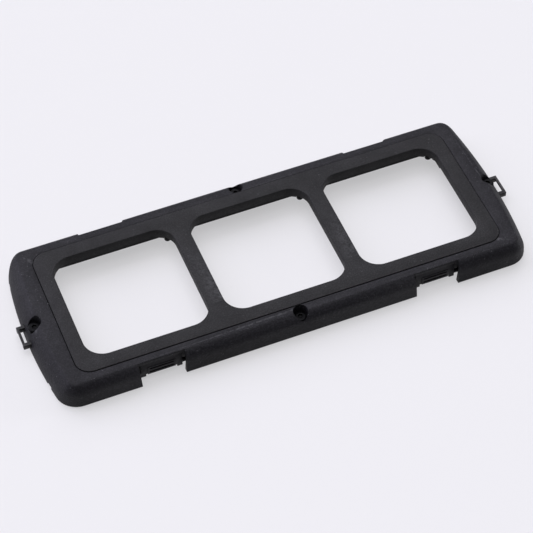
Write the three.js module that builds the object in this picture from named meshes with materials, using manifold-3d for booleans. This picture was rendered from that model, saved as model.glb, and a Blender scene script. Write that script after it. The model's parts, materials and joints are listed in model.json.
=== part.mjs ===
// Three-window film carrier for 120 roll film: a moulded cover with an inlaid face plate,
// hinged along its far side to a base frame, with two press latches along its near side.
// Millimetres, +Z up. The origin is on the table, under the middle of the carrier.
import * as THREE from 'three';
import { ParametricGeometry } from 'three/addons/geometries/ParametricGeometry.js';
import { mergeVertices } from 'three/addons/utils/BufferGeometryUtils.js';
import Module from 'manifold-3d';

const wasm = await Module();
wasm.setup();

// ---- Driving dimensions ----

const FRAME = 56;               // side of one picture window
const PITCH = 63.5;             // spacing of the windows along X
const WINDOW_RADIUS = 9;        // corner radius of a picture window
const HEIGHT = 12.7;            // table to top face
const SKIRT_LIFT = 0.4;         // clearance of the cover's skirt over the table

const TOP_HALF_LENGTH = 105.5;  // flat top, middle of the bowed end
const TOP_HALF_WIDTH = 38.4;
const TOP_CORNER = 3;
const TOP_BOW = 330;            // radius of the bowed end at the top
const SKIRT_HALF_LENGTH = 111.6;
const SKIRT_HALF_WIDTH = 41.7;
const SKIRT_CORNER = 10;
const SKIRT_BOW = 222;
const SIDE_SHOULDER = 4.8;      // depth over which a long side turns down
const WALL = 2.2;               // skirt thickness

const PLATE_MARGIN = 6.9;       // from the picture windows to the face plate's edge
const PLATE_RADIUS = 7;
const SEAM = 0.3;               // gap round the face plate
const LIP = 0.3;                // the face plate stands proud of the cover by this
const PLATE_THICK = 1.6;
const WINDOW_DEPTH = 4.4;       // height of the face plate's window rims
const RIM = 1.2;                // thickness of a window rim
const CLEAR = 0.3;              // working gap between neighbouring pieces

const SHELL_TOP = HEIGHT - LIP;
const DECK_TOP = HEIGHT - PLATE_THICK - CLEAR;
const DECK_UNDER = 8.6;
const RIM_BOTTOM = HEIGHT - WINDOW_DEPTH;
const PRESSURE = { top: 8.3, bottom: 7.6, halfLength: 99.5, halfWidth: 34.4 };
const BASE = { top: 6.8, under: 4.8, foot: 1.1, halfLength: 102, halfWidth: 34.2, wall: 1.8, window: 61 };
const RAIL = { inner: 31.4, width: 1.1, height: 0.4 };

const NOTCH = { half: 9.8, flare: 0.9, plane: 38.3 };
const NOTCH_X = [-PITCH, PITCH];
const SCREW = { bore: 3.3, head: 2.8, headHeight: 1.5, shank: 1, seat: 7.2, tip: 3.5, socket: 1.1 };
const SIDE_SCREW_Y = 38;
const END_SCREW_X = 107.3;
const BOSS = { radius: 4.1, bottom: 2.6 };
const KEEPER = { half: 5.5, ear: 1.6, top: 5, bottom: 2.4, out: 114.3, inner: 104.6, strap: 1.1 };
const TONGUE_END = 108;         // the keeper's tongue stops inside the end wall
const PARTING = { inner: 106.5, near: -26.4, far: 31.4, half: 1.7, top: 1.8 };

const HINGE = { y: 39.6, z: 4.2, knuckle: 1.8, pin: 1, running: 0.07, lidHalf: 3, armOut: 6.2 };
const LATCH = { front: 38, thick: 1.4, half: 9.4, top: 10.2, bottom: 3.2, foot: 1.8, travel: 1.2 };
const GUIDE = { inner: 13.1, outer: 15.5, tongue: 14.2, low: 3.6, high: 5 };
const PAD = { size: 7.6, height: 1, x: 98, y: 26 };
const PIN = { radius: 1.5, bottom: 5.6, offset: 26.5 };
const LUG = { half: 6, web: 1.2, inner: 33.1, outer: 38.7, bottom: 3.6, top: 5.8 };

const WINDOW_X = [-PITCH, 0, PITCH];
const ARC = 8;                  // segments in a rounded corner
const ROUND_SIDES = 16;
const BORE_SIDES = 24;

// ---- Solids ----

// A closed geometry as a solid, with its faces turned outwards.
function solidOf(geometry) {
  const bare = geometry.clone();
  bare.deleteAttribute('normal');
  bare.deleteAttribute('uv');
  const merged = mergeVertices(bare, 1e-4);
  const places = merged.attributes.position.array;
  const corners = [];
  for (let i = 0; i < merged.index.count; i += 3) {
    const [a, b, c] = [0, 1, 2].map((k) => merged.index.getX(i + k));
    if (a !== b && b !== c && c !== a) corners.push(a, b, c);
  }
  if (signedVolume(places, corners) < 0) {
    for (let i = 0; i < corners.length; i += 3) {
      [corners[i], corners[i + 1]] = [corners[i + 1], corners[i]];
    }
  }
  return new wasm.Manifold(new wasm.Mesh({
    numProp: 3,
    vertProperties: new Float32Array(places),
    triVerts: new Uint32Array(corners),
  }));
}

function signedVolume(places, corners) {
  const point = (i) => new THREE.Vector3().fromArray(places, 3 * i);
  let sum = 0;
  for (let i = 0; i < corners.length; i += 3) {
    sum += point(corners[i]).dot(point(corners[i + 1]).cross(point(corners[i + 2])));
  }
  return sum / 6;
}

function geometryOf(solid) {
  const { vertProperties, triVerts } = solid.getMesh();
  const geometry = new THREE.BufferGeometry();
  geometry.setAttribute('position', new THREE.BufferAttribute(new Float32Array(vertProperties), 3));
  geometry.setIndex(new THREE.BufferAttribute(new Uint32Array(triVerts), 1));
  geometry.computeVertexNormals();
  return geometry;
}

const joined = (solids) => solids.reduce((whole, piece) => whole.add(piece));
const cut = (body, tools) => tools.reduce((whole, tool) => whole.subtract(tool), body);

function box(x0, x1, y0, y1, z0, z1) {
  const geometry = new THREE.BoxGeometry(x1 - x0, y1 - y0, z1 - z0);
  return solidOf(geometry.translate((x0 + x1) / 2, (y0 + y1) / 2, (z0 + z1) / 2));
}

function post(x, y, radius, z0, z1, sides = ROUND_SIDES) {
  const geometry = new THREE.CylinderGeometry(radius, radius, z1 - z0, sides).rotateX(Math.PI / 2);
  return solidOf(geometry.translate(x, y, (z0 + z1) / 2));
}

// A round bar along X.
function bar(x0, x1, y, z, radius, sides = 18) {
  const geometry = new THREE.CylinderGeometry(radius, radius, x1 - x0, sides).rotateZ(Math.PI / 2);
  return solidOf(geometry.translate((x0 + x1) / 2, y, z));
}

function roundedRectangle(halfX, halfY, radius) {
  const shape = new THREE.Shape();
  const quarter = Math.PI / 2;
  shape.absarc(halfX - radius, halfY - radius, radius, 0, quarter);
  shape.absarc(radius - halfX, halfY - radius, radius, quarter, 2 * quarter);
  shape.absarc(radius - halfX, radius - halfY, radius, 2 * quarter, 3 * quarter);
  shape.absarc(halfX - radius, radius - halfY, radius, 3 * quarter, 4 * quarter);
  return shape;
}

// A rounded slab between two heights.
function slab(halfX, halfY, radius, z0, z1, x = 0) {
  const settings = { depth: z1 - z0, bevelEnabled: false, curveSegments: ARC };
  const geometry = new THREE.ExtrudeGeometry(roundedRectangle(halfX, halfY, radius), settings);
  return solidOf(geometry.translate(x, 0, z0));
}

// A box on the near side (side -1) or the far side (side 1), given by its distances from the middle.
function sideBox(side, x0, x1, inner, outer, z0, z1) {
  return side > 0 ? box(x0, x1, inner, outer, z0, z1) : box(x0, x1, -outer, -inner, z0, z1);
}

// A polygon drawn in the Y-Z plane and carried from x0 to x1.
function crossBar(points, x0, x1) {
  const shape = new THREE.Shape(points.map(([y, z]) => new THREE.Vector2(y, z)));
  const geometry = new THREE.ExtrudeGeometry(shape, { depth: x1 - x0, bevelEnabled: false });
  geometry.rotateZ(Math.PI / 2).rotateY(Math.PI / 2);
  return solidOf(geometry.translate(x0, 0, 0));
}

const windowCuts = (half, radius, z0, z1) => WINDOW_X.map((x) => slab(half, half, radius, z0, z1, x));

// ---- The cover's moulded outline ----

// How far a shoulder has come out at a drop below the top edge, in millimetres: an arc that leaves
// the top face at a slope and ends upright.
function arcOut(drop, out, depth, sag) {
  const chord = Math.hypot(out, depth);
  const radius = (chord * chord / 4 + sag * sag) / (2 * sag);
  const middle = [out / 2, depth / 2];
  const inward = [-depth / chord, out / chord];
  const reach = radius - sag;
  const centre = [middle[0] + inward[0] * reach, middle[1] + inward[1] * reach];
  const rise = Math.min(drop, depth) - centre[1];
  return Math.min(out, centre[0] + Math.sqrt(radius * radius - rise * rise));
}

const END_OUT = SKIRT_HALF_LENGTH - TOP_HALF_LENGTH;
const SIDE_OUT = SKIRT_HALF_WIDTH - TOP_HALF_WIDTH;
const END_SAG = 1.6;
const SIDE_SAG = 0.75;

// The outline at a height, drawn in by an inset.
function outline(z, inset = 0) {
  const drop = SHELL_TOP - z;
  const endOut = arcOut(drop, END_OUT, SHELL_TOP, END_SAG);
  const sideOut = arcOut(drop, SIDE_OUT, SIDE_SHOULDER, SIDE_SAG);
  const share = endOut / END_OUT;
  return {
    z,
    halfLength: TOP_HALF_LENGTH + endOut - inset,
    halfWidth: TOP_HALF_WIDTH + sideOut - inset,
    corner: Math.max(TOP_CORNER + share * (SKIRT_CORNER - TOP_CORNER) - inset, 1.5),
    bow: TOP_BOW + share * (SKIRT_BOW - TOP_BOW) - inset,
  };
}

// One quarter of an outline: the bowed end, the corner and half of the long side.
function quarterRing({ halfLength, halfWidth, corner, bow }) {
  const bowX = halfLength - bow;
  const cornerY = halfWidth - corner;
  const cornerX = bowX + Math.sqrt((bow - corner) ** 2 - cornerY ** 2);
  const turn = Math.atan2(cornerY, cornerX - bowX);
  const points = [];
  for (let i = 0; i < ARC; i += 1) {
    const angle = turn * i / ARC;
    points.push([bowX + bow * Math.cos(angle), bow * Math.sin(angle)]);
  }
  for (let i = 0; i <= ARC; i += 1) {
    const angle = turn + (Math.PI / 2 - turn) * i / ARC;
    points.push([cornerX + corner * Math.cos(angle), cornerY + corner * Math.sin(angle)]);
  }
  return points;
}

function ring(level) {
  const quarter = quarterRing(level);
  const second = quarter.slice(1).reverse().map(([x, y]) => [-x, y]);
  const half = [...quarter, ...second, [-quarter[0][0], 0]];
  return [...half, ...half.slice(1, -1).reverse().map(([x, y]) => [x, -y])];
}

// A solid through outlines stacked from the lowest to the highest.
function loft(levels) {
  const rings = levels.map(ring);
  const around = rings[0].length;
  const rows = levels.length + 1;
  const surface = (u, v, target) => {
    const row = Math.round(v * rows);
    if (row === 0) return target.set(0, 0, levels[0].z);
    if (row === rows) return target.set(0, 0, levels[rows - 2].z);
    const [x, y] = rings[row - 1][Math.round(u * around) % around];
    return target.set(x, y, levels[row - 1].z);
  };
  return solidOf(new ParametricGeometry(surface, around, rows));
}

// ---- Pieces of the lid ----

function notchCut(x, side) {
  const { half, flare, plane } = NOTCH;
  const shape = new THREE.Shape([
    new THREE.Vector2(-half, -1), new THREE.Vector2(half, -1),
    new THREE.Vector2(half + flare, HEIGHT + 1), new THREE.Vector2(-half - flare, HEIGHT + 1),
  ]);
  const geometry = new THREE.ExtrudeGeometry(shape, { depth: 6, bevelEnabled: false });
  geometry.rotateX(Math.PI / 2).translate(x, side > 0 ? plane + 6 : -plane, 0);
  return solidOf(geometry);
}

// The small parting cuts in the foot of the bowed ends, beside each corner.
function partingCut(xSide, y) {
  const { inner, half, top } = PARTING;
  const outer = SKIRT_HALF_LENGTH + 1;
  const x0 = Math.min(inner * xSide, outer * xSide);
  const x1 = Math.max(inner * xSide, outer * xSide);
  return box(x0, x1, y - half, y + half, -1, top);
}

function screwPlaces() {
  return [
    { name: 'near', x: 0, y: -SIDE_SCREW_Y }, { name: 'far', x: 0, y: SIDE_SCREW_Y },
    { name: 'left', x: -END_SCREW_X, y: 0 }, { name: 'right', x: END_SCREW_X, y: 0 },
  ];
}

function lidKnuckle(x) {
  const { y, z, knuckle, pin, running, lidHalf } = HINGE;
  const arm = crossBar([
    [y - 3.4, DECK_UNDER + 0.5], [y - 3.4, z + 1.6], [y - knuckle, z], [y, z - knuckle / 2],
    [y + 0.9, z + 1.2], [NOTCH.plane, z + 3], [NOTCH.plane, DECK_UNDER + 0.5],
  ], x - lidHalf, x + lidHalf);
  const barrel = bar(x - lidHalf, x + lidHalf, y, z, knuckle);
  return { body: arm.add(barrel), hole: bar(x - 10, x + 10, y, z, pin + running) };
}

// Room for a keeper: a pocket for its tongue behind the end wall, and a slot through it for each ear.
function keeperRooms(xSide) {
  const { inner, half, ear, bottom, top } = KEEPER;
  const room = (x, y0, y1) => {
    const x0 = Math.min((inner - CLEAR) * xSide, x * xSide);
    const x1 = Math.max((inner - CLEAR) * xSide, x * xSide);
    return box(x0, x1, y0, y1, bottom - CLEAR, top + CLEAR);
  };
  const past = SKIRT_HALF_LENGTH + 1;
  return [
    room(TONGUE_END + CLEAR, -half - CLEAR, half + CLEAR),
    room(past, half - ear - CLEAR, half + CLEAR),
    room(past, -half - CLEAR, ear - half + CLEAR),
  ];
}

function coverShell() {
  const steps = [SKIRT_LIFT, 3, 5.5, SHELL_TOP - SIDE_SHOULDER, 9, 10.2, 11.1, 11.8, SHELL_TOP];
  const outside = loft(steps.map((z) => outline(z)));
  const cavitySteps = [-1, 4, 6, DECK_UNDER];
  const cavity = loft(cavitySteps.map((z) => ({ ...outline(Math.max(z, SKIRT_LIFT), WALL), z })));
  const bosses = screwPlaces().map(({ x, y }) => post(x, y, BOSS.radius, BOSS.bottom, DECK_UNDER + 0.2));
  const pocketBack = LATCH.front - LATCH.thick - LATCH.travel - CLEAR;
  const latchPockets = NOTCH_X.map((x) => sideBox(-1, x - 10, x + 10, pocketBack, 39, 5, LATCH.top + CLEAR));
  const hollow = cut(cavity, bosses);
  const plateHalf = [PITCH + FRAME / 2 + PLATE_MARGIN, FRAME / 2 + PLATE_MARGIN];
  const recess = slab(plateHalf[0], plateHalf[1], PLATE_RADIUS, DECK_TOP, HEIGHT + 1);
  const rimHalf = FRAME / 2 + RIM + CLEAR;
  const openings = windowCuts(rimHalf, WINDOW_RADIUS + RIM, 5, HEIGHT);
  const bores = screwPlaces().flatMap(({ x, y }) => [
    post(x, y, SCREW.bore, SCREW.seat, HEIGHT + 1, BORE_SIDES),
    post(x, y, SCREW.shank + CLEAR, 0, SCREW.seat + 0.5),
  ]);
  // The side bosses stop above the pressure frame's lugs, and the end ones over the keepers.
  const lugRooms = [-1, 1].map((side) => (
    sideBox(side, -LUG.half - CLEAR, LUG.half + CLEAR, LUG.inner - 1, LUG.outer + CLEAR, 0, LUG.top + CLEAR)));
  const keeperSlots = [-1, 1].flatMap(keeperRooms);
  const notches = NOTCH_X.flatMap((x) => [notchCut(x, -1), notchCut(x, 1)]);
  const partings = [-1, 1].flatMap((xSide) => [PARTING.near, PARTING.far].map((y) => partingCut(xSide, y)));
  const knuckles = NOTCH_X.map(lidKnuckle);
  const tools = [
    hollow, recess, ...openings, ...lugRooms, ...keeperSlots, ...notches, ...latchPockets, ...partings,
    ...bores,
  ];
  const shell = joined([cut(outside, tools), ...knuckles.map(({ body }) => body)]);
  return cut(shell, knuckles.map(({ hole }) => hole));
}

function facePlate() {
  const halfX = PITCH + FRAME / 2 + PLATE_MARGIN - SEAM;
  const halfY = FRAME / 2 + PLATE_MARGIN - SEAM;
  const sheet = slab(halfX, halfY, PLATE_RADIUS - SEAM, HEIGHT - PLATE_THICK, HEIGHT);
  const rims = windowCuts(FRAME / 2 + RIM, WINDOW_RADIUS + RIM, RIM_BOTTOM, HEIGHT - PLATE_THICK / 2);
  return cut(joined([sheet, ...rims]), windowCuts(FRAME / 2, WINDOW_RADIUS, 0, HEIGHT + 1));
}

function pressureFrame() {
  const { top, bottom, halfLength, halfWidth } = PRESSURE;
  const sheet = slab(halfLength, halfWidth, 6, bottom, top);
  const webInner = LUG.half - LUG.web;
  // Each side has a lug under its screw, hung from the sheet by a web at either end.
  const lugs = [-1, 1].map((side) => joined([
    sideBox(side, -LUG.half, LUG.half, LUG.inner, LUG.outer, LUG.bottom, LUG.top),
    sideBox(side, -LUG.half, -webInner, LUG.inner, LUG.inner + 3, LUG.bottom, top),
    sideBox(side, webInner, LUG.half, LUG.inner, LUG.inner + 3, LUG.bottom, top),
  ]));
  const bossRooms = [-1, 1].map((side) => (
    sideBox(side, -webInner, webInner, LUG.inner + 0.3, halfWidth + 1, LUG.top, HEIGHT)));
  const holes = [-1, 1].map((side) => post(0, side * SIDE_SCREW_Y, SCREW.shank + CLEAR, 0, LUG.top + 1));
  const pinHoles = WINDOW_X.map((x) => (
    post(x + PIN.offset, PIN.offset, PIN.radius + 0.05, 0, PRESSURE.bottom + 0.3)));
  const windows = windowCuts(FRAME / 2 + 1.4, WINDOW_RADIUS + 4, 0, HEIGHT);
  const whole = joined([cut(sheet, windows), ...lugs]);
  return cut(whole, [...bossRooms, ...holes, ...pinHoles]);
}

// A socket-head screw on a lathe, with a six-sided socket.
function screw(x, y) {
  const { head, headHeight, shank, seat, tip, socket } = SCREW;
  const top = seat + 0.1 + headHeight;
  const profile = [
    [0, tip], [shank - 0.3, tip], [shank, tip + 0.4], [shank, seat + 0.1], [head, seat + 0.1],
    [head, top - 0.3], [head - 0.35, top], [0, top],
  ].map(([r, z]) => new THREE.Vector2(r, z));
  const turned = solidOf(new THREE.LatheGeometry(profile, 18).rotateX(Math.PI / 2));
  const placed = turned.translate([x, y, 0]);
  return placed.subtract(post(x, y, socket, top - 0.9, top + 1, 6));
}

// A keeper: a tongue under the end screw, and two ears joined outside the wall by a thin strap.
function keeper(side) {
  const { half, ear, top, bottom, out, inner, strap } = KEEPER;
  const tongue = box(inner, TONGUE_END, -half, half, bottom, top);
  const ears = [box(inner, out, half - ear, half, bottom, top), box(inner, out, -half, ear - half, bottom, top)];
  const bridge = box(out - strap, out, -half, half, top - strap, top);
  const hole = post(END_SCREW_X, 0, SCREW.shank + CLEAR, 0, HEIGHT);
  const whole = joined([tongue, ...ears, bridge]).subtract(hole);
  return side > 0 ? whole : whole.rotate([0, 0, 180]);
}

function registerPin(x) {
  const { radius, bottom, offset } = PIN;
  const profile = [
    [0, bottom], [radius - 0.5, bottom], [radius, bottom + 0.5], [radius, 7.8], [0, 7.8],
  ].map(([r, z]) => new THREE.Vector2(r, z));
  return solidOf(new THREE.LatheGeometry(profile, 16).rotateX(Math.PI / 2)).translate([x + offset, offset, 0]);
}

// ---- Pieces of the base ----

function baseFrame() {
  const { top, under, foot, halfLength, halfWidth, wall, window } = BASE;
  const sheet = slab(halfLength, halfWidth, 6, under, top);
  const skirt = slab(halfLength, halfWidth, 6, foot, top)
    .subtract(slab(halfLength - wall, halfWidth - wall, 6 - wall, 0, HEIGHT));
  const openings = windowCuts(window / 2, WINDOW_RADIUS + 3, 0, HEIGHT);
  const pads = [-1, 1].flatMap((sx) => [-1, 1].map((sy) => {
    const half = PAD.size / 2;
    return box(sx * PAD.x - half, sx * PAD.x + half, sy * PAD.y - half, sy * PAD.y + half, foot, under + 0.5);
  }));
  const arms = NOTCH_X.flatMap((x) => [-1, 1].map((s) => hingeArm(x, s)));
  const guides = NOTCH_X.flatMap((x) => [-1, 1].map((s) => latchGuide(x, s)));
  const body = joined([cut(sheet, openings), skirt, ...pads, ...arms, ...guides]);
  const lugRooms = [-1, 1].map((side) => (
    sideBox(side, -LUG.half - 0.6, LUG.half + 0.6, LUG.inner - 0.4, halfWidth + 2, 0, HEIGHT)));
  const pinHoles = WINDOW_X.map((x) => post(x + PIN.offset, PIN.offset, PIN.radius + 0.7, 0, HEIGHT));
  return cut(body, [...lugRooms, ...pinHoles]);
}

function hingeArm(x, side) {
  const { y, z, knuckle, pin, running, lidHalf, armOut } = HINGE;
  const x0 = side > 0 ? x + lidHalf + CLEAR : x - armOut;
  const x1 = side > 0 ? x + armOut : x - lidHalf - CLEAR;
  const web = crossBar([
    [BASE.halfWidth - 0.5, 1.6], [y - 0.6, z - knuckle + 0.1], [y, z + 0.6], [y - 1.6, z + 0.8],
    [BASE.halfWidth - 0.5, BASE.top],
  ], x0, x1);
  return web.add(bar(x0, x1, y, z, knuckle)).subtract(bar(x0 - 1, x1 + 1, y, z, pin + running));
}

// A slotted lug that holds one end of a latch.
function latchGuide(x, side) {
  const { inner, outer, tongue, low, high } = GUIDE;
  const x0 = side > 0 ? x + inner : x - outer;
  const x1 = side > 0 ? x + outer : x - inner;
  const lug = box(x0, x1, -38.8, -BASE.halfWidth + 0.5, BASE.foot, BASE.top);
  const slotX = side > 0 ? [x0 - 1, x + tongue + CLEAR] : [x - tongue - CLEAR, x1 + 1];
  return lug.subtract(box(slotX[0], slotX[1], -LATCH.front - CLEAR, -34.9, low - CLEAR, high + CLEAR));
}

function latch(x) {
  const { front, thick, half, top, bottom, foot } = LATCH;
  const back = -front + thick;
  const plate = box(x - half, x + half, -front, back, bottom, top);
  const feet = [box(x - half, x - half + 2.4, -front, back, foot, bottom + 1),
    box(x + half - 2.4, x + half, -front, back, foot, bottom + 1)];
  const tongues = box(x - GUIDE.tongue, x + GUIDE.tongue, -front, back, GUIDE.low, GUIDE.high);
  const press = box(x - 6.3, x + 6.3, -front - 0.4, -front + 0.5, bottom, 7.6);
  const grooves = [4.3, 6.3].map((z) => box(x - 5.5, x + 5.5, -front - 1, -front + 0.4, z, z + 0.8));
  return cut(joined([plate, ...feet, tongues, press]), grooves);
}

// A bowed leaf between a latch and the base's near wall.
function latchSpring(x) {
  const thick = 0.25;
  const outer = -LATCH.front + LATCH.thick + 0.05;
  const seat = -BASE.halfWidth - 0.05;
  const bow = seat - outer - thick;
  const reach = 7;
  const radius = (reach * reach + bow * bow) / (2 * bow);
  const angle = Math.asin(reach / radius);
  const centreY = outer + radius;
  const shape = new THREE.Shape();
  shape.absarc(x, centreY, radius, -Math.PI / 2 - angle, -Math.PI / 2 + angle, false);
  shape.absarc(x, centreY, radius - thick, -Math.PI / 2 + angle, -Math.PI / 2 - angle, true);
  const settings = { depth: 2.2, bevelEnabled: false, curveSegments: 10 };
  return solidOf(new THREE.ExtrudeGeometry(shape, settings).translate(0, 0, 3.4));
}

function filmRail(side) {
  const y0 = side > 0 ? RAIL.inner : -RAIL.inner - RAIL.width;
  return box(-98, 98, y0, y0 + RAIL.width, BASE.top + 0.05, BASE.top + 0.05 + RAIL.height);
}

function hingePin(x) {
  return bar(x - HINGE.armOut, x + HINGE.armOut, HINGE.y, HINGE.z, HINGE.pin);
}

function footPad(x, y) {
  return slab(PAD.size / 2 - 0.5, PAD.size / 2 - 0.5, 2, 0, PAD.height, x).translate([0, y, 0]);
}

// ---- Finishes ----

const finishes = {
  grained: { color: 0x38383a, roughness: 0.72, metalness: 0 },
  moulded: { color: 0x2c2b30, roughness: 0.55, metalness: 0 },
  blackened: { color: 0x1e1e20, roughness: 0.45, metalness: 0.6 },
  steel: { color: 0xb9bbbe, roughness: 0.3, metalness: 1 },
  rubber: { color: 0x202021, roughness: 0.9, metalness: 0 },
};

const group = new THREE.Group();

function place(name, solid, finish) {
  const mesh = new THREE.Mesh(geometryOf(solid), new THREE.MeshStandardMaterial(finishes[finish]));
  mesh.name = name;
  group.add(mesh);
}

place('cover_shell', coverShell(), 'moulded');
place('face_plate', facePlate(), 'grained');
place('pressure_frame', pressureFrame(), 'blackened');
for (const { name, x, y } of screwPlaces()) {
  place(`cover_screw_${name}`, screw(x, y), 'steel');
}
WINDOW_X.forEach((x, i) => place(`register_pin_${i + 1}`, registerPin(x), 'steel'));
place('keeper_left', keeper(-1), 'blackened');
place('keeper_right', keeper(1), 'blackened');

place('base_frame', baseFrame(), 'moulded');
place('film_rail_near', filmRail(-1), 'blackened');
place('film_rail_far', filmRail(1), 'blackened');
for (const [side, x] of [['left', NOTCH_X[0]], ['right', NOTCH_X[1]]]) {
  place(`latch_${side}`, latch(x), 'moulded');
  place(`latch_spring_${side}`, latchSpring(x), 'steel');
  place(`hinge_pin_${side}`, hingePin(x), 'steel');
  for (const [row, y] of [['near', -PAD.y], ['far', PAD.y]]) {
    place(`foot_pad_${row}_${side}`, footPad(Math.sign(x) * PAD.x, y), 'rubber');
  }
}

export default group;
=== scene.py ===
"""Three-window roll-film carrier: finished pieces and finishes, built round the packed frame."""
import json
import math

import bmesh
import bpy
from mathutils import Matrix, Vector

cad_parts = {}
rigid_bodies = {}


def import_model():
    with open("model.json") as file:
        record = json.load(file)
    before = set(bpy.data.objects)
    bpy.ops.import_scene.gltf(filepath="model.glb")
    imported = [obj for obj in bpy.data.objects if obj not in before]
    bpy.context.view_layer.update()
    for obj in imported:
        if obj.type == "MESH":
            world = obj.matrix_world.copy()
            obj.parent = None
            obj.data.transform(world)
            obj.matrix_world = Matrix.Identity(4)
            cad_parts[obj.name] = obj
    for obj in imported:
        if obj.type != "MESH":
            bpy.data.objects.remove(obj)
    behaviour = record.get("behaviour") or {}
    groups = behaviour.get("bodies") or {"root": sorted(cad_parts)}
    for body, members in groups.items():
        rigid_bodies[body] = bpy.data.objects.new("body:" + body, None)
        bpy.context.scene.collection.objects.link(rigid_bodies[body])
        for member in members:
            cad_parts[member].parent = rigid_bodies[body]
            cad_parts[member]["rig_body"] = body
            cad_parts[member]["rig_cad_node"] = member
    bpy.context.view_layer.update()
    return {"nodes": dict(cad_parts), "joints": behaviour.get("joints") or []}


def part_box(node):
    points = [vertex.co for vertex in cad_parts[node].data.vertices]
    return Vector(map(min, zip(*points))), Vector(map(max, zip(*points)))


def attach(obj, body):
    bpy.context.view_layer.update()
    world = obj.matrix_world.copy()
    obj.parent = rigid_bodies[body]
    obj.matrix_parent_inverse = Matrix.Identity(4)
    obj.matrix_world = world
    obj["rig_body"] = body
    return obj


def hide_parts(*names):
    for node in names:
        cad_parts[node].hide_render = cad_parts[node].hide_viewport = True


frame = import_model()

bl_info = {
    "name": "Film Carrier",
    "version": (1, 0, 0),
    "blender": (4, 5, 0),
    "location": "View3D > Sidebar > Film Carrier",
    "description": "Builds the pieces and finishes of a three-window film carrier",
    "category": "Object",
}

MM = 0.001
SHELL_LOW, SHELL_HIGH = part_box("cover_shell")
PLATE_LOW, PLATE_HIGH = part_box("face_plate")
TOP = SHELL_HIGH.z
FACE = PLATE_HIGH.z
PITCH = 63.5 * MM
WINDOW_X = (-PITCH, 0.0, PITCH)
NOTCH_X = (-PITCH, PITCH)


# ---- Sizes and colours that a user would change ----

class CarrierSizes(bpy.types.PropertyGroup):
    window: bpy.props.FloatProperty(
        name="Window", description="Side of one picture window", default=56 * MM, unit="LENGTH")
    window_radius: bpy.props.FloatProperty(
        name="Window corner", description="Corner radius of a picture window", default=9 * MM, unit="LENGTH")
    seam: bpy.props.FloatProperty(
        name="Seam", description="Gap round the inlaid face plate", default=0.3 * MM, unit="LENGTH")
    wall: bpy.props.FloatProperty(
        name="Skirt wall", description="Thickness of the cover's skirt", default=2.2 * MM, unit="LENGTH")
    screw_bore: bpy.props.FloatProperty(
        name="Screw bore", description="Radius of the counterbore over a screw", default=3.3 * MM,
        unit="LENGTH")


class CarrierColours(bpy.types.PropertyGroup):
    grained: bpy.props.FloatVectorProperty(
        name="Grained plastic", description="Face of the grained plastic", subtype="COLOR", size=3,
        default=(0.0085, 0.0083, 0.0088), min=0, max=1)
    moulded: bpy.props.FloatVectorProperty(
        name="Moulded plastic", description="Cover shell and latches", subtype="COLOR", size=3,
        default=(0.0062, 0.0059, 0.0076), min=0, max=1)
    blackened: bpy.props.FloatVectorProperty(
        name="Blackened metal", description="Keepers, rails and the pressure frame", subtype="COLOR", size=3,
        default=(0.0035, 0.0035, 0.004), min=0, max=1)
    screw: bpy.props.FloatVectorProperty(
        name="Screws", description="Blackened screws", subtype="COLOR", size=3,
        default=(0.002, 0.002, 0.0025), min=0, max=1)
    steel: bpy.props.FloatVectorProperty(
        name="Steel", description="Hinge pins and springs", subtype="COLOR", size=3,
        default=(0.60, 0.61, 0.63), min=0, max=1)
    rubber: bpy.props.FloatVectorProperty(
        name="Rubber", description="Foot pads", subtype="COLOR", size=3,
        default=(0.016, 0.016, 0.017), min=0, max=1)
    floor: bpy.props.FloatVectorProperty(
        name="Floor", description="Studio floor", subtype="COLOR", size=3,
        default=(0.246, 0.244, 0.25), min=0, max=1)


def sizes():
    return bpy.context.scene.carrier_sizes


def colours():
    return bpy.context.scene.carrier_colours


# ---- Working in edit mode ----

def only(piece):
    """Leaves one object selected and active."""
    bpy.ops.object.select_all(action="DESELECT")
    piece.select_set(True)
    bpy.context.view_layer.objects.active = piece


class Editing:
    """Edit mode on one piece, for the length of a with block."""

    def __init__(self, piece):
        self.piece = piece

    def __enter__(self):
        only(self.piece)
        bpy.ops.object.mode_set(mode="EDIT")
        return self

    def __exit__(self, *_):
        bpy.ops.object.mode_set(mode="OBJECT")

    def mesh(self):
        return bmesh.from_edit_mesh(self.piece.data)

    def pick(self, kind, test):
        """Selects the verts, edges or faces that pass a test, and returns how many there are."""
        bpy.ops.mesh.select_mode(type=kind.upper()[:-1])
        bpy.ops.mesh.select_all(action="DESELECT")
        mesh = self.mesh()
        found = [item for item in getattr(mesh, kind) if test(item)]
        for item in found:
            item.select_set(True)
        mesh.select_flush_mode()
        bmesh.update_edit_mesh(self.piece.data)
        return len(found)

    def tidy(self):
        """Merges doubles and turns every face outwards."""
        bpy.ops.mesh.select_all(action="SELECT")
        bpy.ops.mesh.remove_doubles(threshold=0.002 * MM)
        bpy.ops.mesh.normals_make_consistent(inside=False)


def middle(edge):
    return (edge.verts[0].co + edge.verts[1].co) / 2


def upright(edge):
    along = edge.verts[1].co - edge.verts[0].co
    return abs(along.z) > 0.9 * along.length and along.length > 0.1 * MM


def name_last(name):
    piece = bpy.context.active_object
    piece.name = name
    piece.data.name = name
    return piece


def settle(piece):
    """Puts a piece's place into its mesh, so that its object sits at the origin."""
    only(piece)
    bpy.ops.object.transform_apply(location=True, rotation=True, scale=True)
    return piece


def block(name, low, high):
    """A box between two corners, as a start for a piece or a cutter."""
    low, high = Vector(low), Vector(high)
    bpy.ops.mesh.primitive_cube_add(size=1, location=(low + high) / 2, scale=high - low)
    return settle(name_last(name))


def rounded_block(name, low, high, radius, segments=16):
    """A box with its upright edges rounded."""
    piece = block(name, low, high)
    with Editing(piece) as edit:
        edit.pick("edges", upright)
        bpy.ops.mesh.bevel(offset=radius, segments=segments, affect="EDGES", clamp_overlap=False)
        edit.tidy()
    return piece


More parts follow.
